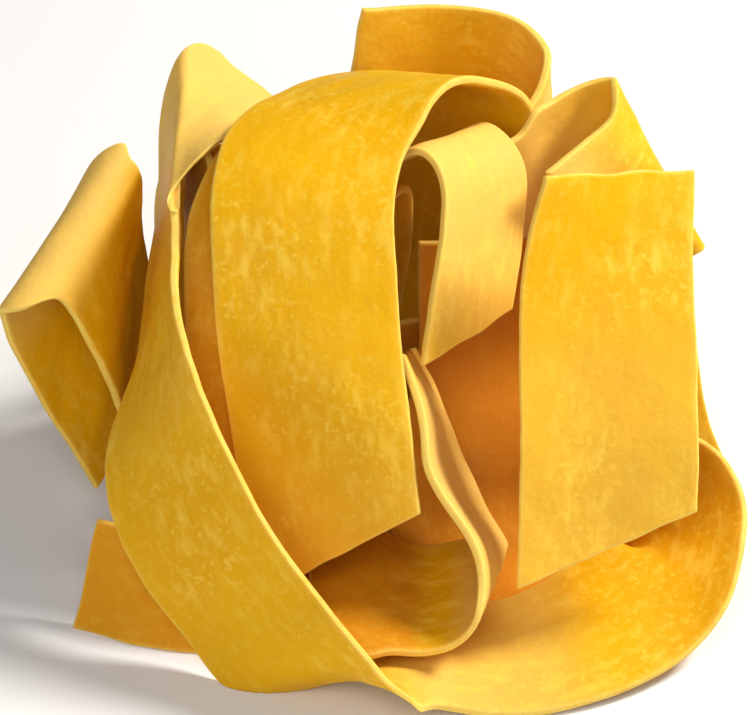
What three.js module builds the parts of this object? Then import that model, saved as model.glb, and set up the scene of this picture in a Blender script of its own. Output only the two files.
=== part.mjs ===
// Dry pasta nest: one handful of wide, flat egg ribbons, coiled by hand and dried.
// Millimetres, +Z up, floor at Z = 0. The origin is the middle of the nest's footprint.
// Each ribbon is one closed solid, a thin strip that bends and twists along its own path.
import * as THREE from 'three';

// ---- driving dimensions -------------------------------------------------------------
const RIBBON_WIDTH = 19;      // width of a ribbon from cut edge to cut edge
const THICKNESS = 0.9;        // thickness of the dried dough
const STEP_LENGTH = 2.6;      // length of one facet along a ribbon
const ACROSS_FACETS = 2;      // facets across a ribbon's width
const LEAST_SPREAD = 0.75;    // least sine between a ribbon's path and its across direction
const FLOOR_FLAT = 0;         // height of the surface that the nest rests on

// ---- colour -------------------------------------------------------------------------
const EGG_YELLOW = 0xe6ae1e;

// ---- ribbon sweep -------------------------------------------------------------------
function vector(list) {
  return new THREE.Vector3(list[0], list[1], list[2]);
}

// A smooth curve through the stations, with the across direction carried beside it.
function route(stations) {
  const centres = stations.map((station) => vector(station.at));
  const curve = new THREE.CatmullRomCurve3(centres, false, 'centripetal');
  const acrossCurve = new THREE.CatmullRomCurve3(
    stations.map((station) => vector(station.across).normalize()),
    false,
    'catmullrom',
    0.5,
  );
  curve.arcLengthDivisions = 400;
  return { curve, acrossCurve, length: curve.getLength() };
}

// Position, across direction and face normal at a distance along the ribbon. Beyond an
// end the path runs straight on, so that a slanted cut can reach past the last station.
// Where the across direction leans along the path, it is stretched to keep the width.
function frameAt({ curve, acrossCurve, length }, distance) {
  const inside = THREE.MathUtils.clamp(distance, 0, length);
  const t = curve.getUtoTmapping(inside / length);
  const tangent = curve.getTangent(t);
  const centre = curve.getPoint(t).addScaledVector(tangent, distance - inside);
  const across = acrossCurve.getPoint(t).normalize();
  const normal = new THREE.Vector3().crossVectors(across, tangent);
  across.divideScalar(Math.max(normal.length(), LEAST_SPREAD));
  return { centre, across, normal: normal.normalize() };
}

// One row of points round the section: along the upper face, then back along the lower.
function sectionRow(path, startSlant, endSlant, share, shape) {
  const upper = [];
  const lower = [];
  for (let i = 0; i <= ACROSS_FACETS; i += 1) {
    const side = (2 * i) / ACROSS_FACETS - 1;
    const from = startSlant * side;
    const to = path.length + endSlant * side;
    const { centre, across, normal } = frameAt(path, from + (to - from) * share);
    const middle = centre.clone().addScaledVector(across, (side * shape.width) / 2);
    middle.addScaledVector(normal, shape.cup * (1 - side * side));
    upper.push(middle.clone().addScaledVector(normal, shape.thickness / 2));
    lower.unshift(middle.clone().addScaledVector(normal, -shape.thickness / 2));
  }
  return [...upper, ...lower];
}

function ribbon(name, stations, options = {}) {
  const shape = { width: RIBBON_WIDTH, thickness: THICKNESS, cup: 0, ...options };
  const path = route(stations);
  const steps = Math.round(path.length / STEP_LENGTH);
  const ring = 2 * (ACROSS_FACETS + 1);
  const positions = [];
  for (let step = 0; step <= steps; step += 1) {
    const row = sectionRow(path, options.startSlant ?? 0, options.endSlant ?? 0, step / steps, shape);
    row.forEach((point) => positions.push(point.x, point.y, Math.max(point.z, FLOOR_FLAT)));
  }
  const triangles = [];
  for (let step = 0; step < steps; step += 1) {
    for (let i = 0; i < ring; i += 1) {
      const a = step * ring + i;
      const b = step * ring + ((i + 1) % ring);
      triangles.push(a, b, a + ring, b, b + ring, a + ring);
    }
  }
  const last = steps * ring;
  for (let i = 0; i < ACROSS_FACETS; i += 1) {
    const j = ring - 1 - i;
    triangles.push(i, j, j - 1, i, j - 1, i + 1);
    triangles.push(last + i, last + j - 1, last + j, last + i, last + i + 1, last + j - 1);
  }
  const geometry = new THREE.BufferGeometry();
  geometry.setAttribute('position', new THREE.Float32BufferAttribute(positions, 3));
  geometry.setIndex(triangles);
  geometry.computeVertexNormals();
  const material = new THREE.MeshStandardMaterial({ color: EGG_YELLOW, roughness: 0.62, metalness: 0 });
  const mesh = new THREE.Mesh(geometry, material);
  mesh.name = name;
  return mesh;
}

// ---- the ribbons --------------------------------------------------------------------
// "at" is a point on the middle of the ribbon, "across" points from one long edge to the
// other.

// The broad arch at the front: up from its cut end, over the top and down the back.
function centralArch() {
  return ribbon('ribbon_central_arch', [
    { at: [-3.7, -22.3, 10.5], across: [0.88, -0.32, 0.22] },
    { at: [-5.8, -16, 22.5], across: [0.98, -0.12, 0.04] },
    { at: [-7.3, -9, 34.7], across: [1, 0, 0] },
    { at: [-7.6, -3, 41.5], across: [1, 0, 0] },
    { at: [-6, 4, 45.3], across: [0.97, -0.15, 0.1] },
    { at: [-0.7, 12.4, 45.8], across: [0.85, -0.42, 0.27] },
    { at: [5.3, 17.6, 43.6], across: [0.8, -0.5, 0.26] },
    { at: [7.9, 20.5, 40.6], across: [0.85, -0.5, 0.2] },
    { at: [7.6, 21.8, 36.6], across: [0.84, -0.52, 0.12] },
    { at: [7.2, 23.2, 28], across: [0.85, -0.5, 0] },
    { at: [6.8, 24, 18], across: [0.88, -0.45, 0] },
    { at: [7, 23, 7], across: [0.95, -0.3, 0] },
  ], { startSlant: 4.6, cup: 0.5 });
}

// The long sweep round the outside: over the top left corner, down the left side, along
// the front with its lower edge tucked under, and up again as the bowl at the right.
function outerSweep() {
  return ribbon('ribbon_outer_sweep', [
    { at: [-10.6, 18.2, 37.4], across: [0.03, -0.92, 0.3] },
    { at: [-12.6, 17.8, 39.2], across: [0, -0.94, 0.25] },
    { at: [-17, 16, 41.9], across: [-0.05, -0.98, 0.1] },
    { at: [-20.9, 11.4, 42.5], across: [-0.06, -0.97, -0.22] },
    { at: [-21.9, 7.9, 39.3], across: [0.1, -0.95, 0.1] },
    { at: [-22.1, 4.3, 34.8], across: [0.12, -0.86, 0.49] },
    { at: [-22.8, -6.5, 27.5], across: [0.25, -0.62, 0.75] },
    { at: [-22.8, -17.2, 21.3], across: [0.65, -0.25, 0.7] },
    { at: [-18.6, -24.8, 14.5], across: [0.72, -0.2, 0.66] },
    { at: [-13, -30.2, 8.5], across: [0.7, -0.3, 0.64] },
    { at: [-8.1, -34.6, 5.3], across: [0.62, -0.34, 0.66] },
    { at: [-2.8, -34.6, 3], across: [0.5, -0.68, 0.54] },
    { at: [5, -28.3, 1.6], across: [0.1, -1, 0.06] },
    { at: [14.3, -28.2, 1.6], across: [0.1, -0.97, -0.1] },
    { at: [23.4, -25, 3.4], across: [0.25, -0.92, -0.25] },
    { at: [29.2, -20, 4.8], across: [0.5, -0.8, -0.15] },
    { at: [31.6, -15.4, 5], across: [0.72, -0.55, 0.41] },
    { at: [32.2, -11.6, 5.6], across: [0.75, -0.28, 0.6] },
    { at: [31.1, -8.2, 6.2], across: [0.66, -0.05, 0.75] },
    { at: [28, -6.2, 7], across: [0.48, 0.12, 0.86] },
    { at: [23.5, -5, 8.2], across: [0.2, 0.2, 0.95] },
  ], { width: 17, cup: 0.6 });
}

// The flap at the right front, cut at both ends and leaning on the nest.
function rightFlap() {
  return ribbon('ribbon_right_flap', [
    { at: [23.9, -25.2, 13.3], across: [0.99, 0.05, 0.1] },
    { at: [24.2, -16.5, 23.5], across: [0.99, 0.1, 0.05] },
    { at: [24, -8.7, 31], across: [0.98, 0.15, 0] },
    { at: [24.3, -3.2, 37.5], across: [0.93, 0.35, -0.1] },
    { at: [25.3, 1, 42.8], across: [0.82, 0.5, -0.2] },
  ], { startSlant: 3, endSlant: -0.8, cup: -0.6, width: 18.5 });
}

// The curl at the centre right, whose end hangs free in the middle of the nest.
function innerCurl() {
  return ribbon('ribbon_inner_curl', [
    { at: [4.8, 9.2, 40.4], across: [0.57, 0.78, -0.25] },
    { at: [8, 8.6, 42.4], across: [0.57, 0.78, -0.25] },
    { at: [10.7, 5.7, 40.2], across: [0.63, 0.74, -0.23] },
    { at: [11.1, 2.8, 36.9], across: [0.64, 0.74, -0.22] },
    { at: [10.4, -2.1, 30.2], across: [0.68, 0.61, -0.42] },
    { at: [9.7, -4.7, 25.9], across: [0.68, 0.61, -0.42] },
  ], { endSlant: -3, width: 13 });
}

// The scroll that curls under the end of the arch and faces the front.
function frontScroll() {
  return ribbon('ribbon_front_scroll', [
    { at: [3.2, -2.3, 22.3], across: [0.02, 0.88, -0.48] },
    { at: [5.2, -6.7, 19.8], across: [0.06, 0.88, -0.48] },
    { at: [7, -12.3, 15.1], across: [0.15, 0.86, -0.48] },
    { at: [12.4, -18.9, 8], across: [0.18, 0.83, -0.52] },
    { at: [12.2, -20.4, 6.3], across: [0.12, 0.93, -0.27] },
    { at: [9.1, -21.7, 5.4], across: [0.05, 0.99, -0.05] },
    { at: [5.4, -22.3, 4.6], across: [0.02, 1, 0] },
    { at: [1, -21.9, 5.2], across: [0, 1, 0.03] },
    { at: [-3, -19.1, 5.7], across: [0, 0.99, 0.06] },
    { at: [-7, -16.9, 5.3], across: [0, 1, 0.02] },
  ], { startSlant: 1 });
}

// The ribbon across the top of the back, standing on edge, with one sharp cut end. Its
// other end turns forward and in again.
function topBack() {
  return ribbon('ribbon_top_back', [
    { at: [-3.2, 30.3, 34.5], across: [-0.17, -0.2, -0.96] },
    { at: [5, 32, 33.7], across: [0, -0.2, -0.97] },
    { at: [11, 32, 33.5], across: [0, -0.2, -0.97] },
    { at: [16, 30.6, 33], across: [0, -0.1, -0.99] },
    { at: [18.9, 27, 31.8], across: [0, 0.05, -0.99] },
    { at: [18, 23.4, 29.8], across: [0, 0.05, -0.99] },
    { at: [16.4, 20.6, 28.6], across: [0, 0.05, -0.99] },
  ]);
}

// The hairpin at the upper right: along the far side, round the sharp turn and back
// behind the flap.
function rightLoop() {
  return ribbon('ribbon_right_loop', [
    { at: [14.2, 13, 29.6], across: [0.03, 0.04, -1] },
    { at: [16, 14.3, 29.9], across: [0.03, 0.04, -1] },
    { at: [18.6, 16.4, 31.7], across: [0.06, 0.03, -1] },
    { at: [22.3, 18.1, 32.6], across: [0.15, 0, -0.99] },
    { at: [27, 18.1, 34], across: [0.3, -0.1, -0.95] },
    { at: [30.3, 15.2, 34.8], across: [0.45, -0.25, -0.86] },
    { at: [29.6, 11.9, 33.8], across: [0.5, -0.08, -0.86] },
    { at: [27, 10.9, 32.8], across: [0.5, 0.1, -0.86] },
    { at: [22.9, 7.2, 31.7], across: [0.5, 0.2, -0.84] },
  ]);
}

// The loose scroll that stands out at the left.
function leftLoop() {
  return ribbon('ribbon_left_loop', [
    { at: [-25.6, 4.9, 17.9], across: [0.12, 0.84, 0.52] },
    { at: [-27.3, 3.6, 26.5], across: [0.2, 0.78, 0.59] },
    { at: [-28.4, 2.3, 33], across: [0.34, 0.72, 0.6] },
    { at: [-29.8, 1.5, 35.8], across: [0.45, 0.68, 0.57] },
    { at: [-31.9, 1.1, 36.1], across: [0.5, 0.68, 0.53] },
    { at: [-34.3, 1.6, 34.7], across: [0.5, 0.68, 0.53] },
    { at: [-34.4, 3.3, 28.9], across: [0.48, 0.68, 0.55] },
    { at: [-32.1, 4.4, 22], across: [0.46, 0.69, 0.56] },
    { at: [-29, 4.9, 14.4], across: [0.46, 0.7, 0.55] },
    { at: [-26.2, 5.3, 7.8], across: [0.46, 0.74, 0.49] },
  ], { width: 17 });
}

// The second arch, close behind the broad one and a little to its left.
function secondArch() {
  return ribbon('ribbon_second_arch', [
    { at: [-9, -16.5, 12.5], across: [1, 0, 0] },
    { at: [-9.8, -12.5, 20.5], across: [1, 0, 0] },
    { at: [-10.5, -7, 30], across: [1, 0, 0] },
    { at: [-10.3, -1.6, 37], across: [0.99, -0.1, -0.1] },
    { at: [-8, 4, 39.7], across: [0.9, -0.25, -0.17] },
    { at: [-6, 10.8, 36], across: [0.93, -0.1, -0.15] },
    { at: [-5.5, 15, 27], across: [0.97, 0, -0.1] },
    { at: [-7, 16.5, 15], across: [0.97, 0, -0.1] },
  ]);
}

// The flap that stands on its long edge at the lower left.
function lowFlap() {
  return ribbon('ribbon_low_flap', [
    { at: [-30.5, -19.2, 5.7], across: [0.1, -0.35, -0.92] },
    { at: [-26, -21, 5.7], across: [0.1, -0.4, -0.9] },
    { at: [-18, -23, 5.7], across: [0.1, -0.35, -0.93] },
    { at: [-11.5, -23.5, 5], across: [0.1, -0.3, -0.94] },
  ], { width: 12.5, startSlant: -2.1 });
}

// The wide wall inside the nest, which leans back behind the scroll and the curl.
function innerWall() {
  return ribbon('ribbon_inner_wall', [
    { at: [11, -18.6, 0.6], across: [1, 0.05, 0] },
    { at: [11, -12.3, 0.6], across: [1, 0.05, 0] },
    { at: [11, -8.2, 1.3], across: [1, 0.05, 0] },
    { at: [11, -3, 4.5], across: [1, 0.05, 0] },
    { at: [12.5, 1.8, 9.5], across: [1, 0.05, 0] },
    { at: [14, 6.7, 16], across: [1, 0.05, 0] },
    { at: [14, 9.9, 23], across: [1, 0.05, 0] },
    { at: [14, 11.3, 27.6], across: [1, 0.05, 0] },
  ]);
}

// The turn in the shade under the arches.
function shadedTurn() {
  return ribbon('ribbon_shaded_turn', [
    { at: [-11, 1.5, 26.5], across: [-0.1, 0.2, 0.97] },
    { at: [-6, 2.8, 26.5], across: [-0.1, 0.2, 0.97] },
    { at: [-1.5, 4, 26.5], across: [-0.1, 0.2, 0.97] },
  ], { width: 15.5 });
}

// The ribbon deep in the gap between the left side and the second arch.
function leftWall() {
  return ribbon('ribbon_left_wall', [
    { at: [-19.9, -8, 17], across: [0.1, 0.2, 0.97] },
    { at: [-19.2, -2, 23.5], across: [0.1, 0.2, 0.97] },
    { at: [-17.6, 2.5, 27.5], across: [0.05, 0.15, 0.98] },
    { at: [-17.3, 5.8, 29.9], across: [0, 0.1, 0.99] },
    { at: [-18.4, 8.8, 31.6], across: [0, 0.1, 0.99] },
    { at: [-20.1, 12, 31.6], across: [0, 0.1, 0.99] },
  ], { width: 17 });
}

// The band that closes the back of the nest, low down, from the right side to the left.
function backSweep() {
  return ribbon('ribbon_back_sweep', [
    { at: [31, 10, 8.4], across: [0.1, 0.1, -0.99] },
    { at: [25, 20.5, 8.4], across: [0.1, 0.1, -0.99] },
    { at: [13, 29, 8.4], across: [0, 0.1, -0.99] },
    { at: [-2, 31, 8.4], across: [0, 0.1, -0.99] },
    { at: [-15, 28.5, 8.4], across: [0, 0.1, -0.99] },
    { at: [-24.5, 22.5, 8.4], across: [0, 0.1, -0.99] },
  ], { width: 17 });
}

// The band above it at the back right, under the hairpin.
function backBand() {
  return ribbon('ribbon_back_band', [
    { at: [32, 18.5, 22], across: [0, 0.1, -0.99] },
    { at: [29, 22.6, 22], across: [0, 0.05, -0.99] },
    { at: [24.5, 25.3, 22], across: [0, 0, -1] },
    { at: [20.8, 26.5, 22], across: [0, 0, -1] },
  ], { width: 13 });
}

// The strip that falls down the back at the left, from under the top left corner.
function backDrape() {
  return ribbon('ribbon_back_drape', [
    { at: [-12.7, 17.1, 36.4], across: [0.95, 0.3, 0] },
    { at: [-15, 21, 27], across: [0.93, 0.35, 0] },
    { at: [-15, 22.5, 17], across: [0.9, 0.42, 0] },
    { at: [-13.5, 20.5, 7], across: [0.92, 0.38, 0] },
  ]);
}

// The turn that lies on the floor inside the nest.
function floorTurn() {
  return ribbon('ribbon_floor_turn', [
    { at: [-17, -11, 0.5], across: [-0.3, 0.95, 0] },
    { at: [-9, -8.3, 0.5], across: [-0.2, 0.97, 0] },
    { at: [0, -7.3, 0.5], across: [0, 1, 0] },
  ], { width: 17 });
}

// The low turn inside the left side, under the second arch.
function leftTurn() {
  return ribbon('ribbon_left_turn', [
    { at: [-17, -0.5, 9.5], across: [0.05, 0.15, 0.98] },
    { at: [-12, 3, 8.8], across: [0.05, 0.15, 0.98] },
    { at: [-6, 6.5, 8.8], across: [0, 0.15, 0.98] },
    { at: [1, 10, 8.8], across: [0, 0.15, 0.98] },
    { at: [9, 11, 8.8], across: [0, 0.15, 0.98] },
    { at: [17, 9, 8.8], across: [0, 0.15, 0.98] },
  ], { width: 16 });
}

// The strip that comes down behind the flap to the rim of the bowl at the right.
function rightDrop() {
  return ribbon('ribbon_right_drop', [
    { at: [26.8, 3, 28], across: [0.95, 0.3, 0] },
    { at: [27.9, 1.4, 20], across: [0.95, 0.3, 0] },
    { at: [29.5, -0.6, 11], across: [0.95, 0.3, 0] },
    { at: [32, -1.3, 3], across: [0.95, 0.3, 0] },
  ], { width: 13 });
}

// The strip that climbs across the back, outside the low band.
function backCross() {
  return ribbon('ribbon_back_cross', [
    { at: [-19, 29.5, 9], across: [-0.3, -0.1, 0.95] },
    { at: [-9, 33, 12], across: [-0.35, -0.05, 0.93] },
    { at: [2, 35.3, 17], across: [-0.4, 0, 0.9] },
    { at: [12, 35, 22.5], across: [-0.35, 0, 0.93] },
    { at: [20, 31.5, 26], across: [-0.2, 0, 0.97] },
  ], { width: 17 });
}

function pastaNest() {
  const nest = new THREE.Group();
  const ribbons = [
    centralArch(),
    outerSweep(),
    rightFlap(),
    innerCurl(),
    frontScroll(),
    topBack(),
    rightLoop(),
    leftLoop(),
    secondArch(),
    lowFlap(),
    innerWall(),
    shadedTurn(),
    leftWall(),
    backSweep(),
    backBand(),
    backDrape(),
    backCross(),
    floorTurn(),
    leftTurn(),
    rightDrop(),
  ];
  ribbons.forEach((strip) => nest.add(strip));

  // The origin goes to the middle of the nest's bounding box, at the height of the floor.
  const middle = new THREE.Box3().setFromObject(nest).getCenter(new THREE.Vector3());
  nest.position.set(-middle.x, -middle.y, 0);
  return nest;
}

export default pastaNest();
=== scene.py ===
"""Dry pasta nest: wide, flat egg ribbons, coiled by hand and dried.

Each ribbon follows the route of the model's solid of the same name. Its face undulates,
its cut edges wander a little, and its dough is grained and flecked.
"""
import math
from collections import namedtuple

import bpy
import numpy as np
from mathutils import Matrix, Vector


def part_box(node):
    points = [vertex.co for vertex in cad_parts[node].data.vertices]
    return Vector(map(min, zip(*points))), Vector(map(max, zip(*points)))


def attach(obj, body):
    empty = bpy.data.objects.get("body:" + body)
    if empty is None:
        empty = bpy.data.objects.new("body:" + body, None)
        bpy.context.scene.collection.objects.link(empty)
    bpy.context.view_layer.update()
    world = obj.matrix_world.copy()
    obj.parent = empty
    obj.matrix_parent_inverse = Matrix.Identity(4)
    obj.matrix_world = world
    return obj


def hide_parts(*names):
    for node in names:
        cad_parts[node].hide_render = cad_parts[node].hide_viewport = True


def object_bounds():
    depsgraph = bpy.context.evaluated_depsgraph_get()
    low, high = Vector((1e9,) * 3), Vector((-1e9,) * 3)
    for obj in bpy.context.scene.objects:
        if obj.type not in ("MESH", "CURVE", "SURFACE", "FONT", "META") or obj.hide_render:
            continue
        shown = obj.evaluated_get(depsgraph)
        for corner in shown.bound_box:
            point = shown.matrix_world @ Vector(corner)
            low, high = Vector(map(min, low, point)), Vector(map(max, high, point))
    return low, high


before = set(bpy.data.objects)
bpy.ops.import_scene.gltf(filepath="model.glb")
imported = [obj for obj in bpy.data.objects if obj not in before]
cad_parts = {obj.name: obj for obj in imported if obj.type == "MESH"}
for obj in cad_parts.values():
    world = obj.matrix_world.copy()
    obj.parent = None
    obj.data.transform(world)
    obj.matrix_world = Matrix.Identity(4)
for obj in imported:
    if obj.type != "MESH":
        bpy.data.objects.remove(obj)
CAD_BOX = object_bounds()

bl_info = {
    "name": "Dry pasta nest",
    "version": (1, 0, 0),
    "blender": (4, 5, 0),
    "location": "View3D > Sidebar > Pasta nest",
    "description": "Builds a nest of wide dried egg ribbons and the stage that it is shown on",
    "category": "Add Mesh",
}

MM = 0.001
RIBBON_WIDTH = 19

# Lengths here are in millimetres.
TABLE_STEP = 0.2          # spacing of the points that a route is read at
LEAST_SPREAD = 0.75       # least sine between a route and its across direction
CENTRE_REACH = 1.0        # kinks in a middle line shorter than this are smoothed away
ACROSS_REACH = 1.6        # the same for the across directions
MOST_OFFSET = 1.5         # furthest that a ribbon may sit from its solid

SWELL_LENGTH = 19         # length of the broad waves in the face
DIMPLE_LENGTH = 5         # length of the small unevenness
FRILL_LENGTH = 15         # length of the waves along the long edges
WANDER_LENGTH = 11        # length of the edges' straying, with some shorter nicks
NICK_LENGTH = 3
NICK_SHARE = 0.2
RAGGED_LENGTH = 6         # length and depth of the unevenness of a cut end
RAGGED_DEPTH = 0.08
RIM_WIDTH = 0.36          # width of the painted highlight along a cut edge
UNDERSIDE_APART = 40.0    # keeps the grain of the underside apart from the face's

END_ROWS = (0.0, 0.06, 0.16, 0.34)    # rows of points close to a cut end, from the end
FIRST_ROW = 0.6                       # the first of the evenly spaced rows
END_THICKNESS = (0.42, 0.7, 0.9, 1.0) # share of the thickness at the rows close to an end
CORNER_TURNS = (22.5, 45.0, 67.5, 90.0)  # degrees round a rounded long edge

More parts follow.
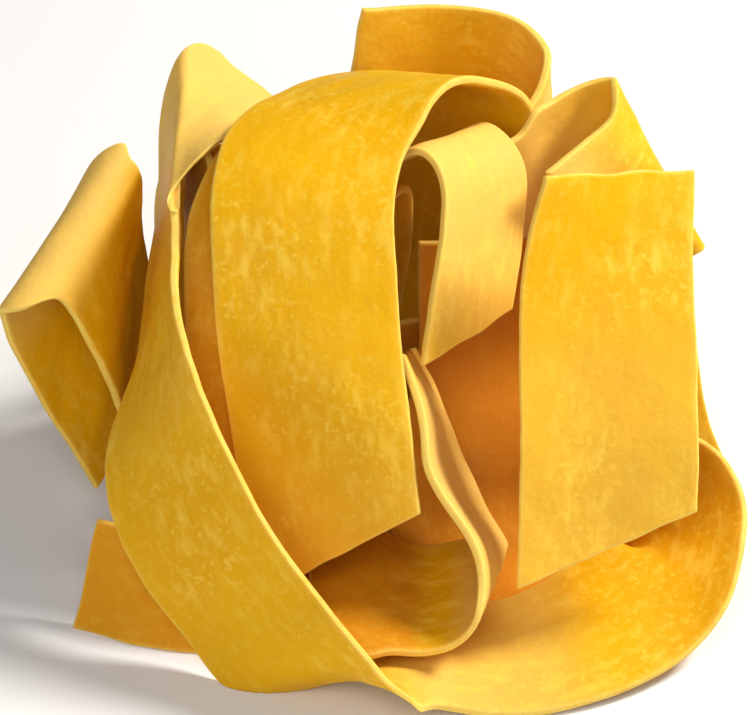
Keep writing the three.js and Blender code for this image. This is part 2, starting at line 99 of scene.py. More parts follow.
# ---- routes --------------------------------------------------------------------------
# Millimetres. Each station is a point on the middle of the ribbon, and the direction
# from one long edge to the other.
Route = namedtuple("Route", "width cup start_slant end_slant stations")
ROUTES = {
    "central_arch": Route(width=RIBBON_WIDTH, cup=0.5, start_slant=4.6, end_slant=0, stations=(
        ((-3.7, -22.3, 10.5), (0.88, -0.32, 0.22)),
        ((-5.8, -16, 22.5), (0.98, -0.12, 0.04)),
        ((-7.3, -9, 34.7), (1, 0, 0)),
        ((-7.6, -3, 41.5), (1, 0, 0)),
        ((-6, 4, 45.3), (0.97, -0.15, 0.1)),
        ((-0.7, 12.4, 45.8), (0.85, -0.42, 0.27)),
        ((5.3, 17.6, 43.6), (0.8, -0.5, 0.26)),
        ((7.9, 20.5, 40.6), (0.85, -0.5, 0.2)),
        ((7.6, 21.8, 36.6), (0.84, -0.52, 0.12)),
        ((7.2, 23.2, 28), (0.85, -0.5, 0)),
        ((6.8, 24, 18), (0.88, -0.45, 0)),
        ((7, 23, 7), (0.95, -0.3, 0)),
    )),
    "outer_sweep": Route(width=17, cup=0.6, start_slant=0, end_slant=0, stations=(
        ((-10.6, 18.2, 37.4), (0.03, -0.92, 0.3)),
        ((-12.6, 17.8, 39.2), (0, -0.94, 0.25)),
        ((-17, 16, 41.9), (-0.05, -0.98, 0.1)),
        ((-20.9, 11.4, 42.5), (-0.06, -0.97, -0.22)),
        ((-21.9, 7.9, 39.3), (0.1, -0.95, 0.1)),
        ((-22.1, 4.3, 34.8), (0.12, -0.86, 0.49)),
        ((-22.8, -6.5, 27.5), (0.25, -0.62, 0.75)),
        ((-22.8, -17.2, 21.3), (0.65, -0.25, 0.7)),
        ((-18.6, -24.8, 14.5), (0.72, -0.2, 0.66)),
        ((-13, -30.2, 8.5), (0.7, -0.3, 0.64)),
        ((-8.1, -34.6, 5.3), (0.62, -0.34, 0.66)),
        ((-2.8, -34.6, 3), (0.5, -0.68, 0.54)),
        ((5, -28.3, 1.6), (0.1, -1, 0.06)),
        ((14.3, -28.2, 1.6), (0.1, -0.97, -0.1)),
        ((23.4, -25, 3.4), (0.25, -0.92, -0.25)),
        ((29.2, -20, 4.8), (0.5, -0.8, -0.15)),
        ((31.6, -15.4, 5), (0.72, -0.55, 0.41)),
        ((32.2, -11.6, 5.6), (0.75, -0.28, 0.6)),
        ((31.1, -8.2, 6.2), (0.66, -0.05, 0.75)),
        ((28, -6.2, 7), (0.48, 0.12, 0.86)),
        ((23.5, -5, 8.2), (0.2, 0.2, 0.95)),
    )),
    "right_flap": Route(width=18.5, cup=-0.6, start_slant=3, end_slant=-0.8, stations=(
        ((23.9, -25.2, 13.3), (0.99, 0.05, 0.1)),
        ((24.2, -16.5, 23.5), (0.99, 0.1, 0.05)),
        ((24, -8.7, 31), (0.98, 0.15, 0)),
        ((24.3, -3.2, 37.5), (0.93, 0.35, -0.1)),
        ((25.3, 1, 42.8), (0.82, 0.5, -0.2)),
    )),
    "inner_curl": Route(width=13, cup=0, start_slant=0, end_slant=-3, stations=(
        ((4.8, 9.2, 40.4), (0.57, 0.78, -0.25)),
        ((8, 8.6, 42.4), (0.57, 0.78, -0.25)),
        ((10.7, 5.7, 40.2), (0.63, 0.74, -0.23)),
        ((11.1, 2.8, 36.9), (0.64, 0.74, -0.22)),
        ((10.4, -2.1, 30.2), (0.68, 0.61, -0.42)),
        ((9.7, -4.7, 25.9), (0.68, 0.61, -0.42)),
    )),
    "front_scroll": Route(width=RIBBON_WIDTH, cup=0, start_slant=1, end_slant=0, stations=(
        ((3.2, -2.3, 22.3), (0.02, 0.88, -0.48)),
        ((5.2, -6.7, 19.8), (0.06, 0.88, -0.48)),
        ((7, -12.3, 15.1), (0.15, 0.86, -0.48)),
        ((12.4, -18.9, 8), (0.18, 0.83, -0.52)),
        ((12.2, -20.4, 6.3), (0.12, 0.93, -0.27)),
        ((9.1, -21.7, 5.4), (0.05, 0.99, -0.05)),
        ((5.4, -22.3, 4.6), (0.02, 1, 0)),
        ((1, -21.9, 5.2), (0, 1, 0.03)),
        ((-3, -19.1, 5.7), (0, 0.99, 0.06)),
        ((-7, -16.9, 5.3), (0, 1, 0.02)),
    )),
    "top_back": Route(width=RIBBON_WIDTH, cup=0, start_slant=0, end_slant=0, stations=(
        ((-3.2, 30.3, 34.5), (-0.17, -0.2, -0.96)),
        ((5, 32, 33.7), (0, -0.2, -0.97)),
        ((11, 32, 33.5), (0, -0.2, -0.97)),
        ((16, 30.6, 33), (0, -0.1, -0.99)),
        ((18.9, 27, 31.8), (0, 0.05, -0.99)),
        ((18, 23.4, 29.8), (0, 0.05, -0.99)),
        ((16.4, 20.6, 28.6), (0, 0.05, -0.99)),
    )),
    "right_loop": Route(width=RIBBON_WIDTH, cup=0, start_slant=0, end_slant=0, stations=(
        ((14.2, 13, 29.6), (0.03, 0.04, -1)),
        ((16, 14.3, 29.9), (0.03, 0.04, -1)),
        ((18.6, 16.4, 31.7), (0.06, 0.03, -1)),
        ((22.3, 18.1, 32.6), (0.15, 0, -0.99)),
        ((27, 18.1, 34), (0.3, -0.1, -0.95)),
        ((30.3, 15.2, 34.8), (0.45, -0.25, -0.86)),
        ((29.6, 11.9, 33.8), (0.5, -0.08, -0.86)),
        ((27, 10.9, 32.8), (0.5, 0.1, -0.86)),
        ((22.9, 7.2, 31.7), (0.5, 0.2, -0.84)),
    )),
    "left_loop": Route(width=17, cup=0, start_slant=0, end_slant=0, stations=(
        ((-25.6, 4.9, 17.9), (0.12, 0.84, 0.52)),
        ((-27.3, 3.6, 26.5), (0.2, 0.78, 0.59)),
        ((-28.4, 2.3, 33), (0.34, 0.72, 0.6)),
        ((-29.8, 1.5, 35.8), (0.45, 0.68, 0.57)),
        ((-31.9, 1.1, 36.1), (0.5, 0.68, 0.53)),
        ((-34.3, 1.6, 34.7), (0.5, 0.68, 0.53)),
        ((-34.4, 3.3, 28.9), (0.48, 0.68, 0.55)),
        ((-32.1, 4.4, 22), (0.46, 0.69, 0.56)),
        ((-29, 4.9, 14.4), (0.46, 0.7, 0.55)),
        ((-26.2, 5.3, 7.8), (0.46, 0.74, 0.49)),
    )),
    "second_arch": Route(width=RIBBON_WIDTH, cup=0, start_slant=0, end_slant=0, stations=(
        ((-9, -16.5, 12.5), (1, 0, 0)),
        ((-9.8, -12.5, 20.5), (1, 0, 0)),
        ((-10.5, -7, 30), (1, 0, 0)),
        ((-10.3, -1.6, 37), (0.99, -0.1, -0.1)),
        ((-8, 4, 39.7), (0.9, -0.25, -0.17)),
        ((-6, 10.8, 36), (0.93, -0.1, -0.15)),
        ((-5.5, 15, 27), (0.97, 0, -0.1)),
        ((-7, 16.5, 15), (0.97, 0, -0.1)),
    )),
    "low_flap": Route(width=12.5, cup=0, start_slant=-2.1, end_slant=0, stations=(
        ((-30.5, -19.2, 5.7), (0.1, -0.35, -0.92)),
        ((-26, -21, 5.7), (0.1, -0.4, -0.9)),
        ((-18, -23, 5.7), (0.1, -0.35, -0.93)),
        ((-11.5, -23.5, 5), (0.1, -0.3, -0.94)),
    )),
    "inner_wall": Route(width=RIBBON_WIDTH, cup=0, start_slant=0, end_slant=0, stations=(
        ((11, -18.6, 0.6), (1, 0.05, 0)),
        ((11, -12.3, 0.6), (1, 0.05, 0)),
        ((11, -8.2, 1.3), (1, 0.05, 0)),
        ((11, -3, 4.5), (1, 0.05, 0)),
        ((12.5, 1.8, 9.5), (1, 0.05, 0)),
        ((14, 6.7, 16), (1, 0.05, 0)),
        ((14, 9.9, 23), (1, 0.05, 0)),
        ((14, 11.3, 27.6), (1, 0.05, 0)),
    )),
    "shaded_turn": Route(width=15.5, cup=0, start_slant=0, end_slant=0, stations=(
        ((-11, 1.5, 26.5), (-0.1, 0.2, 0.97)),
        ((-6, 2.8, 26.5), (-0.1, 0.2, 0.97)),
        ((-1.5, 4, 26.5), (-0.1, 0.2, 0.97)),
    )),
    "left_wall": Route(width=17, cup=0, start_slant=0, end_slant=0, stations=(
        ((-19.9, -8, 17), (0.1, 0.2, 0.97)),
        ((-19.2, -2, 23.5), (0.1, 0.2, 0.97)),
        ((-17.6, 2.5, 27.5), (0.05, 0.15, 0.98)),
        ((-17.3, 5.8, 29.9), (0, 0.1, 0.99)),
        ((-18.4, 8.8, 31.6), (0, 0.1, 0.99)),
        ((-20.1, 12, 31.6), (0, 0.1, 0.99)),
    )),
    "back_sweep": Route(width=17, cup=0, start_slant=0, end_slant=0, stations=(
        ((31, 10, 8.4), (0.1, 0.1, -0.99)),
        ((25, 20.5, 8.4), (0.1, 0.1, -0.99)),
        ((13, 29, 8.4), (0, 0.1, -0.99)),
        ((-2, 31, 8.4), (0, 0.1, -0.99)),
        ((-15, 28.5, 8.4), (0, 0.1, -0.99)),
        ((-24.5, 22.5, 8.4), (0, 0.1, -0.99)),
    )),
    "back_band": Route(width=13, cup=0, start_slant=0, end_slant=0, stations=(
        ((32, 18.5, 22), (0, 0.1, -0.99)),
        ((29, 22.6, 22), (0, 0.05, -0.99)),
        ((24.5, 25.3, 22), (0, 0, -1)),
        ((20.8, 26.5, 22), (0, 0, -1)),
    )),
    "back_drape": Route(width=RIBBON_WIDTH, cup=0, start_slant=0, end_slant=0, stations=(
        ((-12.7, 17.1, 36.4), (0.95, 0.3, 0)),
        ((-15, 21, 27), (0.93, 0.35, 0)),
        ((-15, 22.5, 17), (0.9, 0.42, 0)),
        ((-13.5, 20.5, 7), (0.92, 0.38, 0)),
    )),
    "floor_turn": Route(width=17, cup=0, start_slant=0, end_slant=0, stations=(
        ((-17, -11, 0.5), (-0.3, 0.95, 0)),
        ((-9, -8.3, 0.5), (-0.2, 0.97, 0)),
        ((0, -7.3, 0.5), (0, 1, 0)),
    )),
    "left_turn": Route(width=16, cup=0, start_slant=0, end_slant=0, stations=(
        ((-17, -0.5, 9.5), (0.05, 0.15, 0.98)),
        ((-12, 3, 8.8), (0.05, 0.15, 0.98)),
        ((-6, 6.5, 8.8), (0, 0.15, 0.98)),
        ((1, 10, 8.8), (0, 0.15, 0.98)),
        ((9, 11, 8.8), (0, 0.15, 0.98)),
        ((17, 9, 8.8), (0, 0.15, 0.98)),
    )),
    "right_drop": Route(width=13, cup=0, start_slant=0, end_slant=0, stations=(
        ((26.8, 3, 28), (0.95, 0.3, 0)),
        ((27.9, 1.4, 20), (0.95, 0.3, 0)),
        ((29.5, -0.6, 11), (0.95, 0.3, 0)),
        ((32, -1.3, 3), (0.95, 0.3, 0)),
    )),
    "back_cross": Route(width=17, cup=0, start_slant=0, end_slant=0, stations=(
        ((-19, 29.5, 9), (-0.3, -0.1, 0.95)),
        ((-9, 33, 12), (-0.35, -0.05, 0.93)),
        ((2, 35.3, 17), (-0.4, 0, 0.9)),
        ((12, 35, 22.5), (-0.35, 0, 0.93)),
        ((20, 31.5, 26), (-0.2, 0, 0.97)),
    )),
}

OUTER_RIBBONS = ("outer_sweep", "low_flap", "left_loop")
ARCH_RIBBONS = ("central_arch", "second_arch", "inner_curl", "front_scroll", "right_flap")
INNER_RIBBONS = ("inner_wall", "shaded_turn", "left_wall", "floor_turn", "left_turn")
BACK_RIBBONS = ("top_back", "right_loop", "right_drop", "back_sweep", "back_band", "back_drape",
                "back_cross")

# Painted light and shade at distances along a ribbon, in millimetres. 1 is the palest,
# painted where the light falls, 0 is golden and -1 is the deepest painted shade.
PAINTED_LIGHTING = {
    "outer_sweep": ((0, 0.9), (18, 0.8), (32, 0.2), (60, 0.1), (84, 0.1), (96, 0.7), (108, 0.5),
                    (118, -0.2), (132, -0.5)),
    "front_scroll": ((0, 0.4), (8, 1.0), (27, 1.0), (36, -0.7)),
    "left_loop": ((0, -0.3), (14, 0.0), (20, 0.9), (27, 0.8), (36, 0.0)),
    "inner_curl": ((0, 0.9), (18, 0.6), (28, 0.3)),
    "right_loop": ((0, 0.8), (14, 0.3), (22, 0.1), (30, 0.7)),
    "top_back": ((0, 0.3), (14, 0.1), (24, 0.5)),
    "right_flap": ((0, 0.35), (18, 0.3), (34, 0.0)),
    "central_arch": ((0, 0.3), (12, 0.15), (26, 0.0)),
    "low_flap": ((0, -0.6),),
    "inner_wall": ((0, -1.0),),
    "shaded_turn": ((0, -0.9),),
    "left_wall": ((0, -0.5),),
    "floor_turn": ((0, -1.0),),
    "left_turn": ((0, -0.8),),
    "second_arch": ((0, -0.5),),
}


# ---- settings ------------------------------------------------------------------------
class NestRibbonSettings(bpy.types.PropertyGroup):
    """Sizes that every ribbon shares."""
    thickness: bpy.props.FloatProperty(
        name="Thickness", description="Thickness of the dried dough",
        default=0.0009, min=0.0005, max=0.003, unit="LENGTH", precision=5)
    edge_round: bpy.props.FloatProperty(
        name="Edge rounding", description="Radius left on the knife cut edges",
        default=0.00028, min=0.0001, max=0.0005, unit="LENGTH", precision=5)
    spacing: bpy.props.FloatProperty(
        name="Mesh spacing", description="Distance between rows of points along a ribbon",
        default=0.0006, min=0.0003, max=0.003, unit="LENGTH", precision=5)
    columns: bpy.props.IntProperty(
        name="Columns", description="Faces across the width of a ribbon",
        default=30, min=8, max=64)
    swell: bpy.props.FloatProperty(
        name="Swell", description="Height of the broad, soft waves in the face",
        default=0.00017, min=0.0, max=0.001, unit="LENGTH", precision=5)
    dimple: bpy.props.FloatProperty(
        name="Dimple", description="Height of the small unevenness in the face",
        default=0.00003, min=0.0, max=0.0003, unit="LENGTH", precision=5)
    frill: bpy.props.FloatProperty(
        name="Frill", description="Height of the waves along the long edges",
        default=0.00008, min=0.0, max=0.001, unit="LENGTH", precision=5)
    wander: bpy.props.FloatProperty(
        name="Wander", description="How far the cut edges stray from a straight line",
        default=0.00005, min=0.0, max=0.001, unit="LENGTH", precision=5)
    seed: bpy.props.IntProperty(
        name="Seed", description="Start of the random draws", default=7, min=0)


class NestDoughSettings(bpy.types.PropertyGroup):
    """Colours and grain of the egg dough."""
    golden: bpy.props.FloatVectorProperty(
        name="Golden", description="Colour of the face of the dough",
        subtype="COLOR", size=4, default=(0.80, 0.43, 0.0, 1.0), min=0.0, max=1.0)
    # Both the random deeper patches and the painted shade inside the nest use this colour.
    deep_tone_and_shade: bpy.props.FloatVectorProperty(
        name="Deep", description="Colour of the denser, darker patches",
        subtype="COLOR", size=4, default=(0.62, 0.22, 0.008, 1.0), min=0.0, max=1.0)
    # Painted light: the colour laid on the faces that the light falls on.
    pale: bpy.props.FloatVectorProperty(
        name="Pale", description="Colour of the face of the drier, floured ribbons",
        subtype="COLOR", size=4, default=(0.87, 0.54, 0.12, 1.0), min=0.0, max=1.0)
    fleck: bpy.props.FloatVectorProperty(
        name="Fleck", description="Colour of the pale flecks",
        subtype="COLOR", size=4, default=(0.92, 0.65, 0.08, 1.0), min=0.0, max=1.0)
    # Painted highlight: the pale colour laid along every cut edge.
    edge: bpy.props.FloatVectorProperty(
        name="Cut edge", description="Colour of the dry cut edges",
        subtype="COLOR", size=4, default=(0.92, 0.66, 0.14, 1.0), min=0.0, max=1.0)
    fleck_size: bpy.props.FloatProperty(
        name="Fleck size", description="Size of one pale fleck",
        default=0.00085, min=0.0002, max=0.005, unit="LENGTH", precision=5)
    fleck_amount: bpy.props.FloatProperty(
        name="Fleck amount", description="How strongly the flecks show",
        default=0.55, min=0.0, max=1.0, subtype="FACTOR")
    roughness: bpy.props.FloatProperty(
        name="Roughness", description="Roughness of the dried face",
        default=0.55, min=0.0, max=1.0, subtype="FACTOR")
    grain: bpy.props.FloatProperty(
        name="Grain", description="Depth of the fine grain",
        default=0.00006, min=0.0, max=0.0005, unit="LENGTH", precision=6)


class NestStageSettings(bpy.types.PropertyGroup):
    """Floor, lights and camera."""
    floor_colour: bpy.props.FloatVectorProperty(
        name="Floor", description="Colour of the floor",
        subtype="COLOR", size=4, default=(0.86, 0.86, 0.86, 1.0), min=0.0, max=1.0)
    key_power: bpy.props.FloatProperty(
        name="Key", description="Power of the soft key light",
        default=3.4, min=0.0, unit="POWER")
    fill_power: bpy.props.FloatProperty(
        name="Fill", description="Power of the broad fill light",
        default=1.2, min=0.0, unit="POWER")
    sky: bpy.props.FloatProperty(
        name="Sky", description="Brightness of the surroundings", default=0.21, min=0.0)
    camera_height: bpy.props.FloatProperty(
        name="Camera angle", description="How far the camera looks down",
        default=math.radians(35), unit="ROTATION")
    camera_distance: bpy.props.FloatProperty(
        name="Camera distance", description="Distance from the camera to the nest",
        default=0.6, min=0.2, unit="LENGTH")
    lens: bpy.props.FloatProperty(
        name="Lens", description="Focal length of the camera, in millimetres",
        default=270.0, min=10.0)


# ---- shape ---------------------------------------------------------------------------
def smooth_curve(points, t, evenly):
    """Points at t, from 0 to 1, of a Catmull-Rom curve through the points, with evenly or
    centripetally spaced knots."""
    padded = np.vstack((2 * points[0] - points[1], points, 2 * points[-1] - points[-2]))
    place = t * (len(points) - 1)
    first = np.minimum(place.astype(int), len(points) - 2)
    w = (place - first)[:, None]
    x0, x1, x2, x3 = (padded[first + k] for k in range(4))
    if evenly:
        out = 0.5 * (x2 - x0)
        into = 0.5 * (x3 - x1)
    else:
        d0, d1, d2 = (np.sqrt(np.linalg.norm(b - a, axis=1))[:, None]
                      for a, b in ((x0, x1), (x1, x2), (x2, x3)))
        out = ((x1 - x0) / d0 - (x2 - x0) / (d0 + d1) + (x2 - x1) / d1) * d1
        into = ((x2 - x1) / d1 - (x3 - x1) / (d1 + d2) + (x3 - x2) / d2) * d1
    square = -3 * x1 + 3 * x2 - 2 * out - into
    cube = 2 * x1 - 2 * x2 + out + into
    return x1 + w * (out + w * (square + w * cube))


def softened(rows, reach):
    """The rows with kinks shorter than reach, in millimetres, smoothed away, ends kept."""
    count = min(int(3 * reach / TABLE_STEP), len(rows) - 1)
    offsets = np.arange(-count, count + 1) * TABLE_STEP
    weights = np.exp(-0.5 * (offsets / reach) ** 2)
    before = 2 * rows[0] - rows[1:count + 1][::-1]
    after = 2 * rows[-1] - rows[-count - 1:-1][::-1]
    padded = np.vstack((before, rows, after))
    return np.stack([np.convolve(column, weights / weights.sum(), "valid")
                     for column in padded.T], axis=1)


def unit(rows):
    """The rows scaled to a length of one."""
    return rows / np.linalg.norm(rows, axis=-1, keepdims=True)


class Strip:
    """A ribbon's middle line, read at any distance along it, in millimetres."""

    def __init__(self, route):
        at = np.array([station[0] for station in route.stations], float)
        across = unit(np.array([station[1] for station in route.stations], float))
        fine = np.linspace(0, 1, 4001)
        steps = np.linalg.norm(np.diff(smooth_curve(at, fine, False), axis=0), axis=1)
        travelled = np.concatenate(([0.0], np.cumsum(steps)))
        self.length = travelled[-1]
        self.distance = np.linspace(0, self.length, int(self.length / TABLE_STEP) + 1)
        t = np.interp(self.distance, travelled, fine)
        self.centre = softened(smooth_curve(at, t, False), CENTRE_REACH)
        across = unit(softened(unit(smooth_curve(across, t, True)), ACROSS_REACH))
        self.tangent = unit(np.gradient(self.centre, axis=0))
        normal = np.cross(across, self.tangent)
        spread = np.linalg.norm(normal, axis=1, keepdims=True)
        self.across = across / np.maximum(spread, LEAST_SPREAD)
        self.normal = normal / spread

    def read(self, table, distance):
        return np.stack([np.interp(distance, self.distance, column) for column in table.T], axis=-1)

    def place(self, distance, sideways, height):
        """Points at a distance along, sideways from the middle and above the face."""
        beyond = distance - np.clip(distance, 0, self.length)
        return (self.read(self.centre, distance)
                + self.read(self.tangent, distance) * beyond[..., None]
                + self.read(self.across, distance) * sideways[..., None]
                + unit(self.read(self.normal, distance)) * height[..., None])


def ripple(rng, along, across, length, waves=10):
    """Soft random waves of about the given length, with a mean square of one."""
    total = np.zeros(np.broadcast(along, across).shape)
    for _ in range(waves):
        heading, phase = rng.uniform(0, 2 * math.pi, 2)
        rate = 2 * math.pi / (length * rng.uniform(0.7, 1.5))
        total += np.sin(rate * (along * math.cos(heading) + across * math.sin(heading)) + phase)
    return total / math.sqrt(waves / 2)


def section_outline(width, thickness, radius, columns):
    """One closed section: sideways and height, along the upper face and back under it."""
    half = width / 2
    face = np.linspace(-(half - radius), half - radius, columns + 1)
    turn = np.radians(CORNER_TURNS)
    corner_out = half - radius + radius * np.sin(turn)
    corner_up = thickness / 2 - radius + radius * np.cos(turn)
    upper = np.concatenate((-corner_out[::-1], face, corner_out))
    height = np.concatenate((corner_up[::-1], np.full(columns + 1, thickness / 2), corner_up))
    return np.concatenate((upper, upper[::-1])), np.concatenate((height, -height[::-1]))


def ribbon_points(route, settings, seed):
    """Rows of points round a ribbon, how close each one is to a cut edge, and its place
    along the ribbon and sideways."""
    rng = np.random.default_rng(seed)
    strip = Strip(route)
    half = route.width / 2
    thickness = settings.thickness / MM
    sideways, height = section_outline(
        route.width, thickness, settings.edge_round / MM, settings.columns)
    side = sideways / half
    ragged = RAGGED_DEPTH * ripple(rng, sideways, 0, RAGGED_LENGTH)
    begin = route.start_slant * side + ragged
    ragged = RAGGED_DEPTH * ripple(rng, sideways, 0, RAGGED_LENGTH)
    finish = strip.length + route.end_slant * side + ragged
    rows = int(strip.length / (settings.spacing / MM))
    end_rows = np.array(END_ROWS) / strip.length
    first_row = FIRST_ROW / strip.length
    share = np.concatenate((end_rows, np.linspace(first_row, 1 - first_row, rows),
                            1 - end_rows[::-1]))
    closing = np.array(END_THICKNESS)
    squeeze = np.concatenate((closing, np.ones(rows), closing[::-1]))
    along = begin[None, :] + (finish - begin)[None, :] * share[:, None]
    face = ripple(rng, along, sideways[None, :], SWELL_LENGTH) * settings.swell / MM
    face += ripple(rng, along, sideways[None, :], DIMPLE_LENGTH) * settings.dimple / MM
    left = ripple(rng, along, 0, FRILL_LENGTH) * settings.frill / MM
    right = ripple(rng, along, 0, FRILL_LENGTH) * settings.frill / MM
    near_edge = np.abs(side[None, :]) ** 4
    face += near_edge * np.where(side[None, :] < 0, left, right)
    left, right = (ripple(rng, along, 0, WANDER_LENGTH)
                   + NICK_SHARE * ripple(rng, along, 0, NICK_LENGTH) for _ in range(2))
    stray = np.where(side[None, :] < 0, -left, right) * settings.wander / MM
    out = sideways[None, :] + np.abs(side[None, :]) * stray
    lift = route.cup * (1 - side[None, :] ** 2) + face + height[None, :] * squeeze[:, None]
    points = strip.place(along, out, lift)
    to_side = half - np.abs(sideways)[None, :]
    to_end = np.minimum(share, 1 - share)[:, None] * strip.length
    rim = np.clip(1 - np.minimum(to_side, to_end) / RIM_WIDTH, 0, 1)
    return points, rim, along, out


def plain_box(route, settings):
    """Middle of the box round the plain ribbon, without waves."""
    strip = Strip(route)
    sideways, height = section_outline(route.width, settings.thickness / MM,
                                       settings.edge_round / MM, 8)
    side = sideways / (route.width / 2)
    share = np.linspace(0, 1, 120)[:, None]
    begin = route.start_slant * side[None, :]
    finish = strip.length + route.end_slant * side[None, :]
    along = begin + (finish - begin) * share
    lift = route.cup * (1 - side[None, :] ** 2) + height[None, :]
    points = strip.place(along, np.broadcast_to(sideways, along.shape), lift).reshape(-1, 3)
    return (points.min(axis=0) + points.max(axis=0)) / 2


def nest_shift(settings):
    """How far the model moved the routes sideways, so that its footprint is centred."""
    shifts = []
    for name, route in ROUTES.items():
        low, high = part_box("ribbon_" + name)
        middle = (np.array(low) + np.array(high)) / 2 / MM
        shifts.append((middle - plain_box(route, settings))[:2])
    shift = np.median(np.array(shifts), axis=0)
    worst = np.abs(np.array(shifts) - shift).max()
    if worst > MOST_OFFSET:
        raise RuntimeError(f"a ribbon is {worst:.2f} mm away from its solid")
    return np.array((shift[0], shift[1], 0.0))


def ribbon_mesh(name, points, rim, along, out, painted_lighting):
    """A closed mesh through the rows of points, with the values that the dough reads."""
    rows, ring = rim.shape
    flat = points.reshape(-1, 3) * MM
    flat[:, 2] = np.maximum(flat[:, 2], 0.0)
    corner = np.arange(rows - 1)[:, None] * ring + np.arange(ring)[None, :]
    beside = np.arange(rows - 1)[:, None] * ring + (np.arange(ring)[None, :] + 1) % ring
    faces = np.stack((corner, beside, beside + ring, corner + ring), axis=-1).reshape(-1, 4)
    low = np.arange(ring // 2 - 1)
    last = (rows - 1) * ring
    start_cap = np.stack((low, ring - 1 - low, ring - 2 - low, low + 1), axis=-1)
    end_cap = last + np.stack((low, low + 1, ring - 2 - low, ring - 1 - low), axis=-1)
    faces = np.vstack((faces, start_cap, end_cap))
    mesh = bpy.data.meshes.new(name)
    mesh.from_pydata(flat.tolist(), [], faces.tolist())
    mesh.validate()
    mesh.polygons.foreach_set("use_smooth", np.ones(len(mesh.polygons), bool))
    # The second value is the painted light and shade that the dough reads.
    for key, values in (("cut_edge", rim), ("painted_lighting", painted_lighting)):
        layer = mesh.attributes.new(key, "FLOAT", "POINT")
        layer.data.foreach_set("value", values.reshape(-1).astype(np.float32))
    run = mesh.attributes.new("run", "FLOAT_VECTOR", "POINT")
    height = np.zeros(rim.shape)
    height[:, ring // 2:] = UNDERSIDE_APART
    laid = np.stack((along, out, height), axis=-1).reshape(-1, 3) * MM
    run.data.foreach_set("vector", laid.astype(np.float32).reshape(-1))
    mesh.update()
    return mesh


def add_ribbon(context, name):
    """One ribbon of the nest, which stands for the solid of the same name."""
    settings = context.scene.nest_ribbon
    route = ROUTES[name]
    seed = settings.seed * 100 + list(ROUTES).index(name)
    points, rim, along, out = ribbon_points(route, settings, seed)
    # Painted light and shade along the ribbon, from the table above.
    reach, level = zip(*PAINTED_LIGHTING.get(name, ((0, 0.0),)))
    painted_lighting = np.interp(along, reach, level)
    points = points + nest_shift(settings)
    mesh = ribbon_mesh("egg_ribbon_" + name, points, rim, along, out, painted_lighting)
    piece = bpy.data.objects.new("egg_ribbon_" + name, mesh)
    context.scene.collection.objects.link(piece)
    mesh.materials.append(bpy.data.materials["egg_dough"])
    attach(piece, "root")
    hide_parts("ribbon_" + name)


# ---- dough ---------------------------------------------------------------------------
# Sizes of the spots in each effect, in metres.
CLOUD_SIZE = 0.014
PATCH_SIZE = 0.012
STREAK_SIZE = 0.0016
SHEEN_SIZE = 0.004
PIT_SIZE = 0.0007
LUMP_SIZE = 0.0028
SCRATCH_SIZE = 0.0009
CRUMB_SIZE = 0.0016
STREAK_STRETCH = (0.45, 1.0, 1.0)
SCRATCH_STRETCH = (0.14, 1.0, 1.0)

CLOUD_STRENGTH = 0.2      # most that the clouds turn golden dough deep
PAINTED_SHADE_QUIET = 0.75         # share of the flecks that the painted shade hides
SHINIER, DULLER = 0.07, 0.1   # how far the roughness varies each way
SPECULAR = 0.13
GLOW_WEIGHT = 0.2         # light that enters the dough and comes out again
GLOW_RADIUS = (1.0, 0.5, 0.08)
GLOW_DEPTH = 0.0009


def socket(group, name, kind, default=None, out=False):
    """Add an input or an output to a node group."""
    made = group.interface.new_socket(
        name=name, in_out="OUTPUT" if out else "INPUT", socket_type=kind)
    if default is not None:
        made.default_value = default
    return made


def node(tree, kind, x, y, **values):
    """Add a node at a place in the editor, with its settings."""
    made = tree.nodes.new(kind)
    made.location = (x, y)
    for key, value in values.items():
        setattr(made, key, value)
    return made


def noise_of(tree, x, y, size, detail, rough=0.5):
    """Noise whose blobs are about size metres across."""
    made = node(tree, "ShaderNodeTexNoise", x, y)
    made.inputs["Scale"].default_value = 1 / size
    made.inputs["Detail"].default_value = detail
    made.inputs["Roughness"].default_value = rough
    return made


def ramp_of(tree, x, y, low, high):
    """A smooth step from 0 at low to 1 at high."""
    made = node(tree, "ShaderNodeMapRange", x, y, interpolation_type="SMOOTHSTEP")
    made.inputs["From Min"].default_value = low
    made.inputs["From Max"].default_value = high
    return made


def math_of(tree, x, y, operation, value=None):
    """A sum of values, the second of which can be fixed."""
    made = node(tree, "ShaderNodeMath", x, y, operation=operation)
    if value is not None:
        made.inputs[1].default_value = value
    return made


